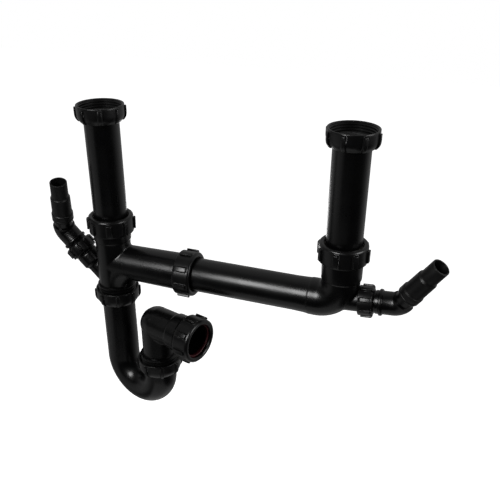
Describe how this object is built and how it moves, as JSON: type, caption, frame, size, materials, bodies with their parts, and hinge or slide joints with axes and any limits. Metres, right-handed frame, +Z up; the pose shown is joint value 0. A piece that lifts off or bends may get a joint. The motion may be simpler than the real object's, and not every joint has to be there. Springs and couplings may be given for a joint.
{
  "type": "double-bowl sink waste kit with p trap",
  "caption": "Black plastic double-bowl sink waste assembly: upright inlets, crossbar, tubular P trap, angled hose nozzles, lugged compression nuts.",
  "frame": {"origin": "centre of the left inlet on the face of its sealing washer, where the sink's waste outlet seats", "axes": "+Z up along the left inlet's axis, +X along the crossbar from the left inlet to the right inlet, +Y towards the back, away from the trap's outlet"},
  "size_m": [0.49, 0.1004, 0.4061],
  "materials": {
    "gloss_black": "moulded black polypropylene, satin to gloss",
    "satin_black": "moulded black polypropylene nuts with a fine satin grain",
    "matt_black": "matt black hose tails",
    "seal_red": "dark red rubber",
    "washer_black": "black rubber",
    "slip_white": "natural polyethylene"
  },
  "bodies": {
    "left_inlet": {"left_tailpiece": "gloss_black", "left_waste_washer": "washer_black"},
    "left_waste_nut": {"left_waste_nut": "satin_black"},
    "left_tube_seal": {"left_tube_seal": "seal_red"},
    "tee": {"tee_body": "gloss_black"},
    "left_tube_slip_ring": {"left_tube_slip_ring": "slip_white"},
    "left_tube_nut": {"left_tube_nut": "satin_black"},
    "crossbar_slip_ring": {"crossbar_slip_ring": "slip_white"},
    "crossbar_nut": {"crossbar_nut": "satin_black"},
    "crossbar_seal": {"crossbar_seal": "seal_red"},
    "right_elbow": {"right_elbow_pipe": "gloss_black", "right_tube_seal": "seal_red"},
    "right_inlet": {"right_tailpiece": "gloss_black", "right_waste_washer": "washer_black"},
    "right_waste_nut": {"right_waste_nut": "satin_black"},
    "right_tube_slip_ring": {"right_tube_slip_ring": "slip_white"},
    "right_tube_nut": {"right_tube_nut": "satin_black"},
    "left_nozzle_washer": {"left_nozzle_washer": "washer_black"},
    "left_nozzle": {"left_nozzle_elbow": "gloss_black", "left_hose_tail": "matt_black"},
    "left_nozzle_nut": {"left_nozzle_nut": "satin_black"},
    "right_nozzle_washer": {"right_nozzle_washer": "washer_black"},
    "right_nozzle": {"right_nozzle_elbow": "gloss_black", "right_hose_tail": "matt_black"},
    "right_nozzle_nut": {"right_nozzle_nut": "satin_black"},
    "trap_inlet_washer": {"trap_inlet_washer": "washer_black"},
    "trap": {"trap_u_bend": "gloss_black"},
    "trap_inlet_nut": {"trap_inlet_nut": "satin_black"},
    "trap_outlet_nut": {"trap_outlet_nut": "satin_black"},
    "trap_outlet_washer": {"trap_outlet_washer": "washer_black"},
    "outlet_elbow": {"outlet_elbow": "gloss_black"},
    "outlet_seal": {"outlet_seal": "seal_red"},
    "outlet_nut": {"outlet_nut": "satin_black"}
  },
  "joints": [
    {"name": "left_waste_nut_turn", "type": "hinge", "parent": "left_inlet", "child": "left_waste_nut", "pos_m": [0, 0, 0], "axis": [0, 0, 1], "continuous": true},
    {"name": "left_height", "type": "slide", "parent": "left_inlet", "child": "left_tube_seal", "axis": [0, 0, 1], "range_m": [-0.012, 0.008]},
    {"name": "left_swivel", "type": "hinge", "parent": "left_tube_seal", "child": "tee", "pos_m": [0, 0, -0.1902], "axis": [0, 0, 1], "continuous": true},
    {"name": "left_slip_ring_travel", "type": "slide", "parent": "tee", "child": "left_tube_slip_ring", "axis": [0, 0, 1], "range_m": [0, 0.009]},
    {"name": "left_tube_nut_turn", "type": "hinge", "parent": "left_tube_slip_ring", "child": "left_tube_nut", "pos_m": [0, 0, -0.1902], "axis": [0, 0, 1], "range_deg": [0, 1080]},
    {"name": "crossbar_slip_ring_travel", "type": "slide", "parent": "tee", "child": "crossbar_slip_ring", "axis": [1, 0, 0], "range_m": [0, 0.009]},
    {"name": "crossbar_nut_turn", "type": "hinge", "parent": "crossbar_slip_ring", "child": "crossbar_nut", "pos_m": [0, 0, -0.1902], "axis": [1, 0, 0], "range_deg": [0, 1080]},
    {"name": "crossbar_twist", "type": "hinge", "parent": "tee", "child": "crossbar_seal", "pos_m": [0, 0, -0.1902], "axis": [1, 0, 0], "continuous": true},
    {"name": "crossbar_slide", "type": "slide", "parent": "crossbar_seal", "child": "right_elbow", "axis": [1, 0, 0], "range_m": [-0.022, 0.018]},
    {"name": "right_height", "type": "slide", "parent": "right_elbow", "child": "right_inlet", "axis": [0, 0, 1], "range_m": [-0.006, 0.016]},
    {"name": "right_waste_nut_turn", "type": "hinge", "parent": "right_inlet", "child": "right_waste_nut", "pos_m": [0.2926, 0, -0.1902], "axis": [0, 0, 1], "continuous": true},
    {"name": "right_slip_ring_travel", "type": "slide", "parent": "right_elbow", "child": "right_tube_slip_ring", "axis": [0, 0, 1], "range_m": [0, 0.009]},
    {"name": "right_tube_nut_turn", "type": "hinge", "parent": "right_tube_slip_ring", "child": "right_tube_nut", "pos_m": [0.2926, 0, -0.1902], "axis": [0, 0, 1], "range_deg": [0, 1080]},
    {"name": "left_nozzle_lift", "type": "slide", "parent": "tee", "child": "left_nozzle_washer", "axis": [-0.6997, 0, 0.7145], "range_m": [0, 0.006]},
    {"name": "left_nozzle_swivel", "type": "hinge", "parent": "left_nozzle_washer", "child": "left_nozzle", "pos_m": [0, 0, -0.23], "axis": [-0.6997, 0, 0.7145], "continuous": true},
    {"name": "left_nozzle_nut_turn", "type": "hinge", "parent": "left_nozzle", "child": "left_nozzle_nut", "pos_m": [0, 0, -0.23], "axis": [-0.6997, 0, 0.7145], "range_deg": [0, 720]},
    {"name": "right_nozzle_lift", "type": "slide", "parent": "right_elbow", "child": "right_nozzle_washer", "axis": [0.9971, 0, 0.0767], "range_m": [0, 0.006]},
    {"name": "right_nozzle_swivel", "type": "hinge", "parent": "right_nozzle_washer", "child": "right_nozzle", "pos_m": [0.2926, 0, -0.1863], "axis": [0.9971, 0, 0.0767], "continuous": true},
    {"name": "right_nozzle_nut_turn", "type": "hinge", "parent": "right_nozzle", "child": "right_nozzle_nut", "pos_m": [0.2926, 0, -0.1863], "axis": [0.9971, 0, 0.0767], "range_deg": [0, 720]},
    {"name": "trap_drop", "type": "slide", "parent": "tee", "child": "trap_inlet_washer", "axis": [0, 0, -1], "range_m": [0, 0.009]},
    {"name": "trap_swivel", "type": "hinge", "parent": "trap_inlet_washer", "child": "trap", "pos_m": [0, 0, -0.1902], "axis": [0, 0, 1], "continuous": true},
    {"name": "trap_inlet_nut_turn", "type": "hinge", "parent": "trap", "child": "trap_inlet_nut", "pos_m": [0, 0, -0.1902], "axis": [0, 0, -1], "range_deg": [0, 1080]},
    {"name": "trap_outlet_nut_turn", "type": "hinge", "parent": "trap", "child": "trap_outlet_nut", "pos_m": [0.06759, -0.02301, -0.1902], "axis": [0, 0, -1], "range_deg": [0, 1080]},
    {"name": "outlet_lift", "type": "slide", "parent": "trap", "child": "trap_outlet_washer", "axis": [0, 0, 1], "range_m": [0, 0.009]},
    {"name": "outlet_swivel", "type": "hinge", "parent": "trap_outlet_washer", "child": "outlet_elbow", "pos_m": [0.06759, -0.02301, -0.1902], "axis": [0, 0, 1], "range_deg": [-100, 100]},
    {"name": "outlet_seal_travel", "type": "slide", "parent": "outlet_elbow", "child": "outlet_seal", "axis": [0.9632, -0.2689, 0], "range_m": [0, 0.009]},
    {"name": "outlet_nut_turn", "type": "hinge", "parent": "outlet_seal", "child": "outlet_nut", "pos_m": [0.06759, -0.02301, -0.258], "axis": [0.9632, -0.2689, 0], "range_deg": [0, 1080]}
  ],
  "couplings": [
    {"joint": "left_slip_ring_travel", "follows": "left_tube_nut_turn", "m_per_rad": 0.00047746},
    {"joint": "crossbar_slip_ring_travel", "follows": "crossbar_nut_turn", "m_per_rad": 0.00047746},
    {"joint": "right_slip_ring_travel", "follows": "right_tube_nut_turn", "m_per_rad": 0.00047746},
    {"joint": "left_nozzle_nut_turn", "follows": "left_nozzle_lift", "rad_per_m": 2094.4},
    {"joint": "right_nozzle_nut_turn", "follows": "right_nozzle_lift", "rad_per_m": 2094.4},
    {"joint": "trap_inlet_nut_turn", "follows": "trap_drop", "rad_per_m": 2094.4},
    {"joint": "trap_outlet_nut_turn", "follows": "outlet_lift", "rad_per_m": 2094.4},
    {"joint": "outlet_seal_travel", "follows": "outlet_nut_turn", "m_per_rad": 0.00047746}
  ]
}
